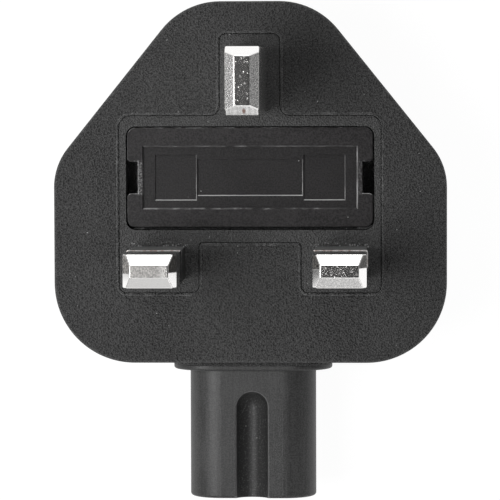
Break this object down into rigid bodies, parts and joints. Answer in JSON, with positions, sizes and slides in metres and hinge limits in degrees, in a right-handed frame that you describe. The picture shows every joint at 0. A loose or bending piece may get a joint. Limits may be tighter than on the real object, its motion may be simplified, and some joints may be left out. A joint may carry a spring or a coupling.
{
  "type": "angled plug adapter",
  "caption": "Black angled mains plug adapter: rectangular pins on a moulded body with a fuse drawer in the pin face, and a figure-of-eight connector nose at a right angle to the pins.",
  "frame": {"origin": "on the back face, straight behind the midpoint of the live and neutral pins", "axes": "lying on its back: +Z out of the pin face along the pins, +Y up to the earth pin as seen from the pins, +X to the right as seen from the pins; the connector nose points along -Y"},
  "size_m": [0.048, 0.0614, 0.0407],
  "materials": {
    "body_moulding": "black, moulded with a fine leather-like grain",
    "bridge_moulding": "black, fine satin grain",
    "carrier_moulding": "black, smooth satin",
    "connector_moulding": "black, smooth satin",
    "sleeve_moulding": "black, smooth",
    "pin_plating": "bright nickel plate on brass",
    "cap_plating": "nickel plate on brass",
    "strap_brass": "stamped brass sheet",
    "contact_brass": "rolled brass sheet, tin plated",
    "fuse_ceramic": "fired ceramic",
    "fuse_wire": "silvered wire"
  },
  "bodies": {
    "adapter": {"outer_body": "body_moulding", "pin_bridge": "bridge_moulding", "bridge_cover": "bridge_moulding", "earth_pin": "pin_plating", "live_pin": "pin_plating", "neutral_pin": "pin_plating", "live_pin_sleeve": "sleeve_moulding", "neutral_pin_sleeve": "sleeve_moulding", "live_clip": "strap_brass", "load_clip": "strap_brass", "neutral_link": "strap_brass", "link_rivets": "strap_brass", "connector_body": "connector_moulding", "live_contact": "contact_brass", "neutral_contact": "contact_brass"},
    "fuse_drawer": {"fuse_carrier": "carrier_moulding", "fuse_tube": "fuse_ceramic", "fuse_cap_live": "cap_plating", "fuse_cap_load": "cap_plating", "fuse_wire": "fuse_wire"}
  },
  "joints": [
    {"name": "fuse_drawer_slide", "type": "slide", "parent": "adapter", "child": "fuse_drawer", "axis": [0, 0, 1], "range_m": [0, 0.014]}
  ]
}
